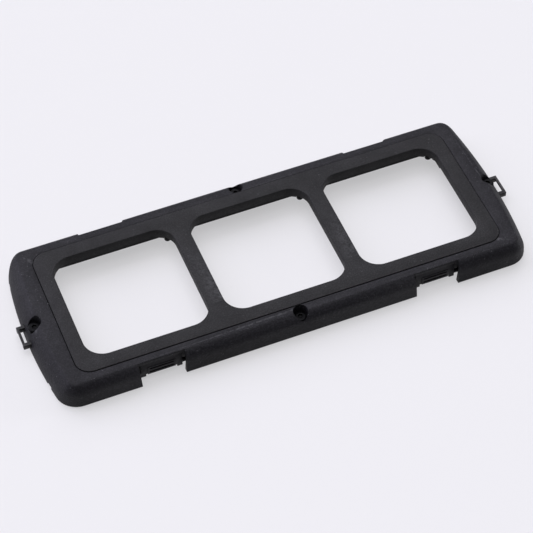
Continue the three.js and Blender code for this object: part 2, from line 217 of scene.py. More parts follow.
def rod(name, start, end, radius, sides=48):
    """A round bar between two points."""
    start, end = Vector(start), Vector(end)
    turn = (end - start).to_track_quat("Z", "Y").to_euler()
    bpy.ops.mesh.primitive_cylinder_add(
        vertices=sides, radius=radius, depth=(end - start).length, location=(start + end) / 2, rotation=turn)
    return settle(name_last(name))


def modifier(piece, kind, **settings):
    """Adds a modifier, sets it up and applies it."""
    only(piece)
    made = piece.modifiers.new(kind.title(), kind)
    for key, value in settings.items():
        setattr(made, key, value)
    bpy.ops.object.modifier_apply(modifier=made.name)


def combine(piece, others, operation="DIFFERENCE"):
    """Cuts or joins others into a piece, and clears them away."""
    for other in others:
        modifier(piece, "BOOLEAN", operation=operation, object=other, solver="EXACT")
        bpy.data.objects.remove(other, do_unlink=True)
    return piece


def copied(piece, name):
    only(piece)
    bpy.ops.object.duplicate()
    return name_last(name)


def move(piece, offset):
    piece.location = Vector(offset)
    return settle(piece)


def finish_mesh(piece, material, angle=35):
    """Smooth faces with crisp edges, one material and a clean state."""
    only(piece)
    bpy.ops.object.shade_smooth_by_angle(angle=math.radians(angle), keep_sharp_edges=False)
    piece.data.materials.clear()
    piece.data.materials.append(material)
    return piece


def soften(piece, width, segments=2, angle=40):
    """Rounds the sharp edges of a whole piece."""
    modifier(piece, "BEVEL", width=width, segments=segments, limit_method="ANGLE",
             angle_limit=math.radians(angle), use_clamp_overlap=False, miter_outer="MITER_ARC")
    with Editing(piece) as edit:
        edit.tidy()


def refined(node, width):
    """A copy of a CAD node with its triangles merged into clean faces and its edges softened."""
    only(frame["nodes"][node])
    bpy.ops.object.duplicate()
    piece = name_last(node + "_finished")
    bpy.ops.object.parent_clear(type="CLEAR_KEEP_TRANSFORM")
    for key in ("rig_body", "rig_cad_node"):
        del piece[key]
    with Editing(piece):
        bpy.ops.mesh.select_all(action="SELECT")
        bpy.ops.mesh.remove_doubles(threshold=0.002 * MM)
        bpy.ops.mesh.dissolve_limited(angle_limit=math.radians(1))
    soften(piece, width)
    return piece


def declare(piece, body, slot, *nodes):
    """Says which body a finished piece rides on and hides the CAD nodes it stands for; the material slot is
    not used.
    """
    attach(piece, body)
    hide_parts(*nodes)


# ---- Finishes ----

class Finish:
    """A new material with its shader, and short ways to add nodes to it."""

    def __init__(self, name, colour, roughness, metallic=0.0):
        self.material = bpy.data.materials.new(name)
        self.material.use_nodes = True
        self.nodes = self.material.node_tree.nodes
        self.links = self.material.node_tree.links
        self.shader = self.nodes["Principled BSDF"]
        self.colour = (*colour, 1)
        self.roughness = roughness
        self.shader.inputs["Metallic"].default_value = metallic
        self.place = self.add("ShaderNodeTexCoord").outputs["Object"]
        self.normal = None

    def add(self, kind, inputs=(), **settings):
        node = self.nodes.new(kind)
        for key, value in settings.items():
            setattr(node, key, value)
        for key, value in dict(inputs).items():
            if isinstance(value, bpy.types.NodeSocket):
                self.links.new(value, node.inputs[key])
            else:
                node.inputs[key].default_value = value
        return node

    def noise(self, size, detail=3.0, roughness=0.55, stretch=(1, 1, 1)):
        """Smooth noise from 0 to 1 whose lumps are about size across."""
        mapping = self.add("ShaderNodeMapping", {"Vector": self.place, "Scale": stretch})
        return self.add("ShaderNodeTexNoise", {
            "Vector": mapping.outputs[0], "Scale": 1 / size, "Detail": detail, "Roughness": roughness,
        }).outputs["Fac"]

    def spread(self, value, low, high, to_low=0.0, to_high=1.0):
        """A value's range low to high, drawn out to another range."""
        return self.add("ShaderNodeMapRange", {
            "Value": value, "From Min": low, "From Max": high, "To Min": to_low, "To Max": to_high,
        }).outputs["Result"]

    def tint(self, factor, other):
        """Mixes the finish's colour towards another by a factor."""
        mix = self.add("ShaderNodeMix", data_type="RGBA")
        self.links.new(factor, mix.inputs["Factor"])
        base = self.shader.inputs["Base Color"]
        if base.is_linked:
            self.links.new(base.links[0].from_socket, mix.inputs["A"])
        else:
            mix.inputs["A"].default_value = self.colour
        mix.inputs["B"].default_value = (*other, 1)
        self.links.new(mix.outputs["Result"], base)

    def vary_roughness(self, value, amount):
        """Roughness that wanders by an amount either side of the finish's own."""
        low, high = self.roughness - amount, self.roughness + amount
        self.links.new(self.spread(value, 0.3, 0.7, low, high), self.shader.inputs["Roughness"])

    def bump(self, value, depth, strength=1.0):
        """Raises the surface by a value times a real depth."""
        inputs = {"Strength": strength, "Distance": depth, "Height": value}
        if self.normal:
            inputs["Normal"] = self.normal
        self.normal = self.add("ShaderNodeBump", inputs).outputs["Normal"]
        self.links.new(self.normal, self.shader.inputs["Normal"])

    def edges(self, amount, other):
        """A paler rub along the convex edges."""
        pointiness = self.add("ShaderNodeNewGeometry").outputs["Pointiness"]
        rub = self.spread(pointiness, 0.53, 0.62, 0, amount)
        patchy = self.add("ShaderNodeMath", {0: rub, 1: self.spread(self.noise(1.2 * MM), 0.35, 0.65)},
                          operation="MULTIPLY").outputs[0]
        self.tint(patchy, other)


def grained_plastic(name, colour, roughness, grain, depth):
    """Spark-textured black plastic: a fine even grain with faint mottling and dust."""
    finish = Finish(name, colour, roughness)
    fine = finish.noise(grain, detail=2)
    cells = finish.add("ShaderNodeTexVoronoi", {"Vector": finish.place, "Scale": 1 / (1.6 * grain)},
                       feature="SMOOTH_F1").outputs["Distance"]
    mottling = finish.noise(9 * MM, detail=4)
    finish.tint(finish.spread(fine, 0.45, 0.66, 0, 0.9), [c * 2.1 + 0.005 for c in colour])
    finish.tint(finish.spread(mottling, 0.35, 0.75, 0, 0.35), [c * 0.72 for c in colour])
    specks = finish.spread(finish.noise(0.9 * MM, detail=1), 0.735, 0.78, 0, 0.35)
    finish.tint(specks, (0.16, 0.16, 0.165))
    finish.edges(0.4, (0.09, 0.09, 0.095))
    finish.vary_roughness(mottling, 0.05)
    finish.bump(fine, depth)
    finish.bump(cells, depth * 0.8)
    finish.shader.inputs["Specular IOR Level"].default_value = 0.16
    return finish.material


def blackened_metal(name, colour, roughness=0.42):
    """Blackened sheet: satin, slightly uneven, rubbed brighter on its edges."""
    finish = Finish(name, colour, roughness, metallic=0.55)
    cloud = finish.noise(3 * MM, detail=4)
    finish.tint(finish.spread(cloud, 0.4, 0.7, 0, 0.5), [c * 1.8 for c in colour])
    finish.edges(0.7, (0.22, 0.21, 0.20))
    finish.vary_roughness(cloud, 0.09)
    finish.bump(finish.noise(0.12 * MM), 0.012 * MM)
    return finish.material


def black_oxide(name, colour):
    """Oiled black-oxide steel, clouded where the finish is thinner."""
    finish = Finish(name, colour, 0.42)
    finish.shader.inputs["Specular IOR Level"].default_value = 0.06
    cloud = finish.noise(0.7 * MM, detail=3)
    finish.tint(finish.spread(cloud, 0.45, 0.75, 0, 0.5), [c * 2.5 for c in colour])
    finish.vary_roughness(cloud, 0.08)
    finish.bump(finish.noise(0.1 * MM), 0.008 * MM)
    return finish.material


def bright_steel(name, colour, roughness, stretch):
    """Drawn or turned steel, with fine lines along or round it."""
    finish = Finish(name, colour, roughness, metallic=1.0)
    lines = finish.noise(0.08 * MM, detail=2, stretch=stretch)
    finish.tint(finish.spread(lines, 0.35, 0.7, 0, 0.4), [c * 0.6 for c in colour])
    finish.vary_roughness(lines, 0.08)
    finish.bump(lines, 0.006 * MM)
    return finish.material


def soft_rubber(name, colour):
    """Dull rubber with a powdery bloom."""
    finish = Finish(name, colour, 0.86)
    bloom = finish.noise(1.5 * MM, detail=5)
    finish.tint(finish.spread(bloom, 0.45, 0.75, 0, 0.5), (0.06, 0.06, 0.062))
    finish.vary_roughness(bloom, 0.06)
    finish.bump(finish.noise(0.25 * MM), 0.03 * MM)
    return finish.material


def floor_card(colour):
    """Pale matt card on a light table, very slightly uneven."""
    finish = Finish("studio_card", colour, 0.7)
    fibre = finish.noise(4 * MM, detail=5)
    finish.tint(finish.spread(fibre, 0.3, 0.7, 0, 0.25), [c * 0.985 for c in colour])
    finish.shader.inputs["Specular IOR Level"].default_value = 0.2
    finish.shader.inputs["Emission Color"].default_value = (0.985, 0.98, 1, 1)
    finish.shader.inputs["Emission Strength"].default_value = 0.49
    return finish.material


# ---- The cover's outline ----

CREASE_LENGTH, CREASE_WIDTH = 105.5 * MM, 38.4 * MM    # half sizes of the flat top
SKIRT_LENGTH, SKIRT_WIDTH = SHELL_HIGH.x, SHELL_HIGH.y  # half sizes at the foot of the skirt
CREASE_CORNER, SKIRT_CORNER = 3 * MM, 10 * MM
CREASE_BOW, SKIRT_BOW = 330 * MM, 222 * MM
SIDE_SHOULDER = 4.8 * MM
END_SAG, SIDE_SAG = 1.6 * MM, 0.75 * MM
CREASE_ROUND = 0.35 * MM
CORNER_STEPS = 20
BOW_STEPS = 14


def arc_out(drop, out, depth, sag):
    """How far a shoulder has come out at a drop below the top: an arc that ends upright."""
    chord = math.hypot(out, depth)
    radius = (chord * chord / 4 + sag * sag) / (2 * sag)
    reach = radius - sag
    centre_out = out / 2 - depth / chord * reach
    centre_drop = depth / 2 + out / chord * reach
    rise = min(drop, depth) - centre_drop
    return min(out, centre_out + math.sqrt(radius * radius - rise * rise))


def outline(z, inset=0.0):
    """Sizes of the cover's outline at a height, drawn in by an inset."""
    drop = TOP - z
    end_out = arc_out(drop, SKIRT_LENGTH - CREASE_LENGTH, TOP, END_SAG)
    side_out = arc_out(drop, SKIRT_WIDTH - CREASE_WIDTH, SIDE_SHOULDER, SIDE_SAG)
    share = end_out / (SKIRT_LENGTH - CREASE_LENGTH)
    return {
        "length": CREASE_LENGTH + end_out - inset,
        "width": CREASE_WIDTH + side_out - inset,
        "corner": max(CREASE_CORNER + share * (SKIRT_CORNER - CREASE_CORNER) - inset, 1.2 * MM),
        "bow": CREASE_BOW + share * (SKIRT_BOW - CREASE_BOW) - inset,
    }


def quarter(length, width, corner, bow):
    """A quarter of an outline, from the middle of an end to the start of a long side."""
    bow_x = length - bow
    corner_y = width - corner
    corner_x = bow_x + math.sqrt((bow - corner) ** 2 - corner_y ** 2)
    turn = math.atan2(corner_y, corner_x - bow_x)
    points = [(bow_x + bow * math.cos(turn * i / BOW_STEPS), bow * math.sin(turn * i / BOW_STEPS))
              for i in range(BOW_STEPS)]
    for i in range(CORNER_STEPS + 1):
        angle = turn + (math.pi / 2 - turn) * i / CORNER_STEPS
        points.append((corner_x + corner * math.cos(angle), corner_y + corner * math.sin(angle)))
    return points


def ring(sizes_at):
    """A whole outline, round from the middle of the right-hand end."""
    first = quarter(**sizes_at)
    half = first + [(-x, y) for x, y in reversed(first)]
    return half + [(x, -y) for x, y in reversed(half[1:-1])]


def lofted(name, levels):
    """A solid drawn up through outlines: a flat disc of points, extruded level by level."""
    rings = [(z, ring(sizes_at)) for z, sizes_at in levels]
    bpy.ops.mesh.primitive_circle_add(vertices=len(rings[0][1]), radius=1, fill_type="NGON")
    piece = name_last(name)
    with Editing(piece) as edit:
        order = None
        for step, (z, places) in enumerate(rings):
            if step:
                bpy.ops.mesh.extrude_region_move()
            mesh = edit.mesh()
            mesh.verts.ensure_lookup_table()
            moving = [v for v in mesh.verts if v.select]
            if order is None:
                order = sorted(moving, key=lambda v: math.atan2(v.co.y, v.co.x) % (2 * math.pi))
            else:
                order = sorted(moving, key=lambda v: v.index)
                order = match_to(order, before)
            for vert, (x, y) in zip(order, places):
                vert.co = (x, y, z)
            before = [v.co.copy() for v in order]
            bmesh.update_edit_mesh(piece.data)
        edit.tidy()
    return piece


def match_to(verts, places):
    """Verts in the order of the places that they stand on."""
    left = {tuple(round(c, 9) for c in v.co): v for v in verts}
    return [left[tuple(round(c, 9) for c in place)] for place in places]


# ---- The lid ----

PAST = 1 * MM       # how far a cutter runs past the face that it cuts
CLEAR = 0.3 * MM    # working gap between neighbouring pieces
END_SCREW_X, SIDE_SCREW_Y = 107.3 * MM, 38 * MM
SCREW_PLACES = (
    ("near", 0.0, -SIDE_SCREW_Y), ("far", 0.0, SIDE_SCREW_Y),
    ("left", -END_SCREW_X, 0.0), ("right", END_SCREW_X, 0.0))
SEAT = 7.2 * MM
SHANK, SHANK_HOLE, SOCKET, SOCKET_DEPTH = 1.0 * MM, 1.3 * MM, 1.15 * MM, 0.9 * MM
BOSS_RADIUS, BOSS_BOTTOM = 4.1 * MM, 2.6 * MM
DECK_UNDER = 8.6 * MM
DECK_TOP = FACE - 1.9 * MM
PLATE_THICK, RIM, RIM_ROOM = 1.6 * MM, 1.2 * MM, 1.5 * MM
PLATE_CORNER, RECESS_CORNER = 6.7 * MM, 7 * MM
NOTCH_HALF, NOTCH_FLARE, NOTCH_PLANE, NOTCH_REACH = 9.8 * MM, 0.9 * MM, 38.3 * MM, 6 * MM
PARTING_INNER, PARTING_HALF, PARTING_TOP = 106.5 * MM, 1.7 * MM, 1.8 * MM
PARTING_Y = (-26.4 * MM, 31.4 * MM)
KNUCKLE_HALF, KNUCKLE_RADIUS, PIN_BORE = 3 * MM, 1.8 * MM, 1.07 * MM
KEEPER_EAR, KEEPER_STRAP, TONGUE_END = 1.6 * MM, 1.1 * MM, 108 * MM
LUG_ROOM = {"half": 6.3 * MM, "inner": 32.1 * MM, "outer": 39 * MM, "top": 6.1 * MM}
LATCH_ROOM = {"half": 10 * MM, "outer": 39 * MM, "inner": 35.1 * MM, "low": 5 * MM, "top": 10.5 * MM}


def window_cutters(half, radius, low, high):
    return [rounded_block(f"window_cut_{i}", (x - half, -half, low), (x + half, half, high), radius, 20)
            for i, x in enumerate(WINDOW_X)]


def notch_cutter(x, side):
    """A slot through the skirt, a little wider at the top than at the table."""
    inner, outer = NOTCH_PLANE, NOTCH_PLANE + NOTCH_REACH
    y0, y1 = (inner, outer) if side > 0 else (-outer, -inner)
    cutter = block("notch_cut", (x - NOTCH_HALF, y0, -PAST), (x + NOTCH_HALF, y1, TOP + PAST))
    for sign in (-1, 1):
        with Editing(cutter) as edit:
            edit.pick("verts", lambda v: v.co.z > TOP and (v.co.x - x) * sign > 0)
            bpy.ops.transform.translate(value=(sign * NOTCH_FLARE, 0, 0))
    return cutter


def parting_cutter(side, y):
    """A small cut through the foot of a bowed end, beside a corner."""
    ends = sorted((PARTING_INNER * side, (SKIRT_LENGTH + PAST) * side))
    return block("parting_cut", (ends[0], y - PARTING_HALF, -PAST), (ends[1], y + PARTING_HALF, PARTING_TOP))


def hinge_centre():
    """The middle of the hinge line."""
    joint = next(j for j in frame["joints"] if j["name"] == "lid_hinge")
    return Vector(joint["pos_m"])


def knuckle(x):
    """The cover's half of a hinge: an arm down to a barrel on the hinge line."""
    centre, half = hinge_centre(), KNUCKLE_HALF
    barrel = rod("knuckle", (x - half, centre.y, centre.z), (x + half, centre.y, centre.z), KNUCKLE_RADIUS)
    arm = block("arm", (x - half, centre.y - 3.4 * MM, centre.z - 0.2 * MM),
                (x + half, NOTCH_PLANE + 0.6 * MM, DECK_UNDER + 0.6 * MM))
    with Editing(arm) as edit:
        edit.pick("verts", lambda v: v.co.z < centre.z and v.co.y < centre.y - 2 * MM)
        bpy.ops.transform.translate(value=(0, 1.7 * MM, 0))
        edit.pick("verts", lambda v: v.co.z > centre.z and v.co.y > NOTCH_PLANE)
        bpy.ops.transform.translate(value=(0, -0.6 * MM, 0))
    bore = rod("bore", (x - 2 * half, centre.y, centre.z), (x + 2 * half, centre.y, centre.z), PIN_BORE)
    return combine(combine(barrel, [arm], "UNION"), [bore])


def keeper_rooms(side):
    """A pocket for a keeper's tongue behind the end wall, and a slot through it for each ear."""
    low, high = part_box("keeper_right")
    past = SKIRT_LENGTH + PAST
    spans = (
        ("tongue_room", TONGUE_END + CLEAR, low.y - CLEAR, high.y + CLEAR),
        ("ear_room", past, high.y - KEEPER_EAR - CLEAR, high.y + CLEAR),
        ("ear_room", past, low.y - CLEAR, low.y + KEEPER_EAR + CLEAR))
    rooms = []
    for name, reach, y0, y1 in spans:
        ends = sorted(((low.x - CLEAR) * side, reach * side))
        rooms.append(block(name, (ends[0], y0, low.z - CLEAR), (ends[1], y1, high.z + CLEAR)))
    return rooms


def build_cover_shell():
    own = sizes()
    lift = SHELL_LOW.z
    steps = [lift, lift + 0.25 * MM] + [TOP * i / 14 for i in range(2, 14)]
    steps += [TOP - 0.55 * MM, TOP - 0.3 * MM]
    levels = [(z, outline(z)) for z in steps]
    levels[0] = (lift, outline(lift, 0.2 * MM))
    for share in (0.55, 0.2, 0.0):
        drop = CREASE_ROUND * 0.4 * share
        levels.append((TOP - drop, outline(TOP - drop, CREASE_ROUND * (1 - share) * 0.7)))
    shell = lofted("cover_shell_finished", levels)
    cavity_levels = [(z, outline(max(z, lift), own.wall)) for z in
                     (-PAST, lift, 3 * MM, 5 * MM, 7 * MM, DECK_UNDER)]
    cavity = lofted("cavity", cavity_levels)
    combine(cavity, [rod("boss", (x, y, BOSS_BOTTOM), (x, y, DECK_UNDER + PAST), BOSS_RADIUS)
                     for _, x, y in SCREW_PLACES])
    recess_low = (PLATE_LOW.x - own.seam, PLATE_LOW.y - own.seam, DECK_TOP)
    recess_high = (PLATE_HIGH.x + own.seam, PLATE_HIGH.y + own.seam, FACE + PAST)
    cutters = [cavity, rounded_block("recess", recess_low, recess_high, RECESS_CORNER, 16)]
    cutters += window_cutters(own.window / 2 + RIM_ROOM, own.window_radius + RIM, 5 * MM, TOP)
    for side in (-1, 1):
        y0, y1 = sorted((side * LUG_ROOM["inner"], side * LUG_ROOM["outer"]))
        cutters.append(block("lug_room", (-LUG_ROOM["half"], y0, 0), (LUG_ROOM["half"], y1, LUG_ROOM["top"])))
        cutters += keeper_rooms(side)
    cutters += [notch_cutter(x, side) for x in NOTCH_X for side in (-1, 1)]
    room = LATCH_ROOM
    cutters += [block("latch_room", (x - room["half"], -room["outer"], room["low"]),
                      (x + room["half"], -room["inner"], room["top"])) for x in NOTCH_X]
    cutters += [parting_cutter(side, y) for side in (-1, 1) for y in PARTING_Y]
    for _, x, y in SCREW_PLACES:
        cutters.append(rod("bore", (x, y, SEAT), (x, y, TOP + PAST), own.screw_bore, 64))
        cutters.append(rod("hole", (x, y, 0), (x, y, SEAT + PAST), SHANK_HOLE, 32))
    combine(shell, cutters)
    combine(shell, [knuckle(x) for x in NOTCH_X], "UNION")
    soften(shell, 0.13 * MM, 2, 48)
    plastic = grained_plastic("moulded_plastic", colours().moulded, 0.58, 0.6 * MM, 0.09 * MM)
    finish_mesh(shell, plastic, 32)
    declare(shell, "lid", "moulded", "cover_shell")


def rim_edge(edge, half):
    """An upper edge of a picture window."""
    place = middle(edge)
    reach = half + 0.1 * MM
    near_window = min(abs(place.x - x) for x in WINDOW_X) < reach and abs(place.y) < reach
    high = place.z > FACE - 0.05 * MM
    return near_window and high and len(edge.link_faces) == 2 and edge.calc_face_angle() > 1


def build_face_plate():
    own = sizes()
    half = own.window / 2
    plate = rounded_block("face_plate_finished", (PLATE_LOW.x, PLATE_LOW.y, FACE - PLATE_THICK),
                          (PLATE_HIGH.x, PLATE_HIGH.y, FACE), PLATE_CORNER, 16)
    rims = window_cutters(half + RIM, own.window_radius + RIM, PLATE_LOW.z, FACE - 0.8 * MM)
    combine(plate, rims, "UNION")
    combine(plate, window_cutters(half, own.window_radius, 0, FACE + PAST))
    with Editing(plate) as edit:
        edit.tidy()
        edit.pick("edges", lambda e: rim_edge(e, half))
        bpy.ops.mesh.bevel(offset=0.3 * MM, segments=3, affect="EDGES", clamp_overlap=False)
        edit.pick("edges", lambda e: middle(e).z > FACE - 0.01 * MM and e.calc_face_angle(0) > 1)
        bpy.ops.mesh.bevel(offset=0.12 * MM, segments=2, affect="EDGES", clamp_overlap=False)
        edit.tidy()
    finish_mesh(plate, grained_plastic("grained_plastic", colours().grained, 0.6, 0.55 * MM, 0.075 * MM), 32)
    declare(plate, "lid", "grained", "face_plate")


def build_pressure_frame():
    piece = refined("pressure_frame", 0.08 * MM)
    finish_mesh(piece, blackened_metal("blackened_sheet", colours().blackened))
    declare(piece, "lid", "blackened", "pressure_frame")


def build_screws():
    """One turned screw with a six-sided socket, copied to its four places."""
    low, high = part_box("cover_screw_near")
    head = (high.x - low.x) / 2
    x, y = 0.0, (low.y + high.y) / 2
    under, top = SEAT + 0.1 * MM, high.z
    screw = rod("screw", (x, y, low.z), (x, y, under), SHANK, 48)
    with Editing(screw) as edit:
        edit.pick("faces", lambda f: f.normal.z > 0.9)
        bpy.ops.mesh.inset(thickness=0, use_outset=True)
        bpy.ops.mesh.extrude_region_move(TRANSFORM_OT_translate={"value": (0, 0, 0.0)})
        bpy.ops.transform.resize(value=(head / SHANK, head / SHANK, 1), center_override=(x, y, under))
        bpy.ops.mesh.extrude_region_move(TRANSFORM_OT_translate={"value": (0, 0, top - under)})
        edit.pick("edges", lambda e: middle(e).z > top - 0.01 * MM and (middle(e).xy - Vector((x, y))).length
                  > head * 0.9)
        bpy.ops.mesh.bevel(offset=0.7 * MM, segments=6, affect="EDGES")
        edit.tidy()
    socket = rod("socket", (x, y, top - SOCKET_DEPTH), (x, y, top + PAST), SOCKET, 6)
    combine(screw, [socket])
    soften(screw, 0.05 * MM, 2, 50)
    material = black_oxide("black_oxide", colours().screw)
    for name, to_x, to_y in SCREW_PLACES:
        piece = move(copied(screw, f"cover_screw_{name}_finished"), (to_x - x, to_y - y, 0))
        finish_mesh(piece, material)
        declare(piece, "lid", "screw_steel", f"cover_screw_{name}")
    bpy.data.objects.remove(screw, do_unlink=True)


def build_register_pins():
    """A blackened pin with a rounded tip, copied to the corner of each window."""
    low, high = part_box("register_pin_1")
    centre = (low + high) / 2
    radius = (high.x - low.x) / 2
    pin = rod("pin", (centre.x, centre.y, low.z), (centre.x, centre.y, high.z), radius, 40)
    with Editing(pin) as edit:
        edit.pick("edges", lambda e: middle(e).z < low.z + 0.01 * MM)
        bpy.ops.mesh.bevel(offset=0.6 * MM, segments=6, affect="EDGES")
        edit.tidy()
    material = black_oxide("pin_oxide", colours().screw)
    for i in range(len(WINDOW_X)):
        node = f"register_pin_{i + 1}"
        piece = move(copied(pin, f"{node}_finished"), (WINDOW_X[i] - WINDOW_X[0], 0, 0))
        finish_mesh(piece, material)
        declare(piece, "lid", "pin_black", node)
    bpy.data.objects.remove(pin, do_unlink=True)


def build_keepers():
    """Keepers at the ends: a tongue and two ears, joined outside the wall by a thin strap."""
    for side, way in (("left", -1), ("right", 1)):
        low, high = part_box(f"keeper_{side}")
        out, inner = (low.x, high.x) if way < 0 else (high.x, low.x)

        def part(name, x0, x1, y0, y1, z0):
            return block(name, (min(x0, x1), y0, z0), (max(x0, x1), y1, high.z))

        piece = part(f"keeper_{side}_finished", inner, way * TONGUE_END, low.y, high.y, low.z)
        combine(piece, [
            part("ear_near", inner, out, low.y, low.y + KEEPER_EAR, low.z),
            part("ear_far", inner, out, high.y - KEEPER_EAR, high.y, low.z),
            part("strap", out - way * KEEPER_STRAP, out, low.y, high.y, high.z - KEEPER_STRAP),
        ], "UNION")
        screw_x = way * END_SCREW_X
        combine(piece, [
            rod("bore", (screw_x, 0, low.z - PAST), (screw_x, 0, high.z + PAST), SHANK_HOLE)])
        soften(piece, 0.12 * MM, 2, 50)
        finish_mesh(piece, blackened_metal(f"keeper_{side}_black", colours().blackened, 0.5))
        declare(piece, "lid", "blackened", f"keeper_{side}")


# ---- The base ----

BASE_TOP, BASE_UNDER, BASE_FOOT = 6.8 * MM, 4.8 * MM, 1.1 * MM
BASE_LENGTH, BASE_WIDTH, BASE_WALL, BASE_CORNER = 102 * MM, 34.2 * MM, 1.8 * MM, 6 * MM
BASE_WINDOW, BASE_WINDOW_CORNER, PIN_ROOM = 30.5 * MM, 12 * MM, 2.2 * MM
ROOT = 0.5 * MM     # how far a joined part reaches into the base


def profile_bar(name, points, x0, x1):
    """A bar along X whose section is given by points in Y and Z."""
    bpy.ops.mesh.primitive_circle_add(vertices=len(points), radius=1, fill_type="NGON")
    piece = name_last(name)
    with Editing(piece) as edit:
        mesh = edit.mesh()
        order = sorted(mesh.verts, key=lambda v: math.atan2(v.co.y, v.co.x) % (2 * math.pi))
        for vert, (y, z) in zip(order, points):
            vert.co = (x0, y, z)
        bmesh.update_edit_mesh(piece.data)
        bpy.ops.mesh.select_all(action="SELECT")
        bpy.ops.mesh.extrude_region_move(TRANSFORM_OT_translate={"value": (x1 - x0, 0, 0)})
        edit.tidy()
    return piece


def hinge_arm(x, side):
    """An arm of the base beside a knuckle of the cover, with its barrel; and the bore through it."""
    centre = hinge_centre()
    y, z = centre.y, centre.z
    x0, x1 = sorted((x + side * 3.3 * MM, x + side * 6.2 * MM))
    root = BASE_WIDTH - ROOT
    arm = profile_bar("hinge_arm", [
        (root, 1.6 * MM), (y - 0.6 * MM, z - 1.7 * MM), (y, z + 0.6 * MM), (y - 1.6 * MM, z + 0.8 * MM),
        (root, BASE_TOP)], x0, x1)
    combine(arm, [rod("arm_barrel", (x0, y, z), (x1, y, z), KNUCKLE_RADIUS)], "UNION")
    return combine(arm, [rod("arm_bore", (x0 - PAST, y, z), (x1 + PAST, y, z), PIN_BORE)])


def latch_guide(x, side):
    """A slotted lug of the base that holds one end of a latch."""
    x0, x1 = sorted((x + side * 13.1 * MM, x + side * 15.5 * MM))
    lug = block("latch_guide", (x0, -38.8 * MM, BASE_FOOT), (x1, -BASE_WIDTH + ROOT, BASE_TOP))
    slot_x0, slot_x1 = sorted((x + side * 12.1 * MM, x + side * 14.5 * MM))
    slot = block("guide_slot", (slot_x0, -38.3 * MM, 3.3 * MM), (slot_x1, -34.9 * MM, 5.3 * MM))
    return combine(lug, [slot])


def build_base_frame():
    base = rounded_block("base_frame_finished", (-BASE_LENGTH, -BASE_WIDTH, BASE_FOOT),
                         (BASE_LENGTH, BASE_WIDTH, BASE_TOP), BASE_CORNER, 12)
    with Editing(base) as edit:
        edit.pick("edges", lambda e: not upright(e))
        bpy.ops.mesh.bevel(offset=0.25 * MM, segments=3, affect="EDGES", clamp_overlap=False)
        edit.tidy()
    inner_x, inner_y = BASE_LENGTH - BASE_WALL, BASE_WIDTH - BASE_WALL
    hollow = rounded_block("base_hollow", (-inner_x, -inner_y, 0), (inner_x, inner_y, BASE_UNDER),
                           BASE_CORNER - BASE_WALL, 12)
    combine(base, [hollow])
    joined = []
    for row in ("near", "far"):
        for side in ("left", "right"):
            low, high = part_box(f"foot_pad_{row}_{side}")
            grow = Vector((0.5 * MM, 0.5 * MM, 0))
            joined.append(block("pad_seat", (low - grow).to_2d().to_3d() + Vector((0, 0, BASE_FOOT)),
                                (high + grow).to_2d().to_3d() + Vector((0, 0, BASE_UNDER + 0.5 * MM))))
    for x in NOTCH_X:
        for side in (-1, 1):
            joined += [hinge_arm(x, side), latch_guide(x, side)]
    combine(base, joined, "UNION")
    cutters = window_cutters(BASE_WINDOW, BASE_WINDOW_CORNER, 0, TOP)
    for side in (-1, 1):
        y0, y1 = sorted((side * 32.7 * MM, side * 36.2 * MM))
        cutters.append(block("lug_room", (-6.6 * MM, y0, 0), (6.6 * MM, y1, TOP)))
    for i in range(len(WINDOW_X)):
        low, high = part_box(f"register_pin_{i + 1}")
        x, y = (low.x + high.x) / 2, (low.y + high.y) / 2
        cutters.append(rod("pin_hole", (x, y, 0), (x, y, TOP), PIN_ROOM))
    combine(base, cutters)
    finish_mesh(base, grained_plastic("base_plastic", [c * 0.8 for c in colours().moulded], 0.55,
                                      0.4 * MM, 0.03 * MM))
    declare(base, "base", "base_plastic", "base_frame")


def build_latches():
    material = grained_plastic("latch_plastic", colours().moulded, 0.48, 0.3 * MM, 0.03 * MM)
    for side in ("left", "right"):
        piece = refined(f"latch_{side}", 0.12 * MM)
        finish_mesh(piece, material)
        declare(piece, f"{side}_latch", "latch_plastic", f"latch_{side}")


def build_film_rails():
    material = blackened_metal("rail_metal", colours().blackened, 0.3)
    for side in ("near", "far"):
        piece = refined(f"film_rail_{side}", 0.08 * MM)
        finish_mesh(piece, material)
        declare(piece, "base", "rail_metal", f"film_rail_{side}")


def build_small_steel():
    """Hinge pins and leaf springs."""
    ground = bright_steel("drawn_steel", colours().steel, 0.28, (0.1, 1, 1))
    strip = bright_steel("spring_strip", [c * 0.7 for c in colours().steel], 0.34, (0.1, 1, 1))
    for side in ("left", "right"):
        low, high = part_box(f"hinge_pin_{side}")
        centre = (low + high) / 2
        pin = rod(f"hinge_pin_{side}_finished", (low.x, centre.y, centre.z), (high.x, centre.y, centre.z),
                  (high.z - low.z) / 2, 40)
        soften(pin, 0.18 * MM, 3)
        finish_mesh(pin, ground)
        declare(pin, "base", "pin_steel", f"hinge_pin_{side}")
        spring = refined(f"latch_spring_{side}", 0.04 * MM)
        finish_mesh(spring, strip)
        declare(spring, "base", "spring_steel", f"latch_spring_{side}")


def build_foot_pads():
    """Soft square pads with rounded corners, copied under the four corners."""
    material = soft_rubber("pad_rubber", colours().rubber)
    for row in ("near", "far"):
        for side in ("left", "right"):
            node = f"foot_pad_{row}_{side}"
            low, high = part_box(node)
            pad = rounded_block(f"{node}_finished", low, high, 2 * MM, 8)
            soften(pad, 0.25 * MM, 3)
            finish_mesh(pad, material)
            declare(pad, "base", "pad_rubber", node)


# ---- Stage ----

AIM = Vector((-4.39 * MM, -10.14 * MM, FACE))
DISTANCE = 886.5 * MM
AZIMUTH, ELEVATION, ROLL = math.radians(-21.28), math.radians(50.8), math.radians(-0.92)
LENS = 137.9


def camera_turn(back, roll):
    """Rotation of a camera that looks along -back, rolled about its own axis."""
    return back.to_track_quat("Z", "Y").to_matrix() @ Matrix.Rotation(roll, 3, "Z")


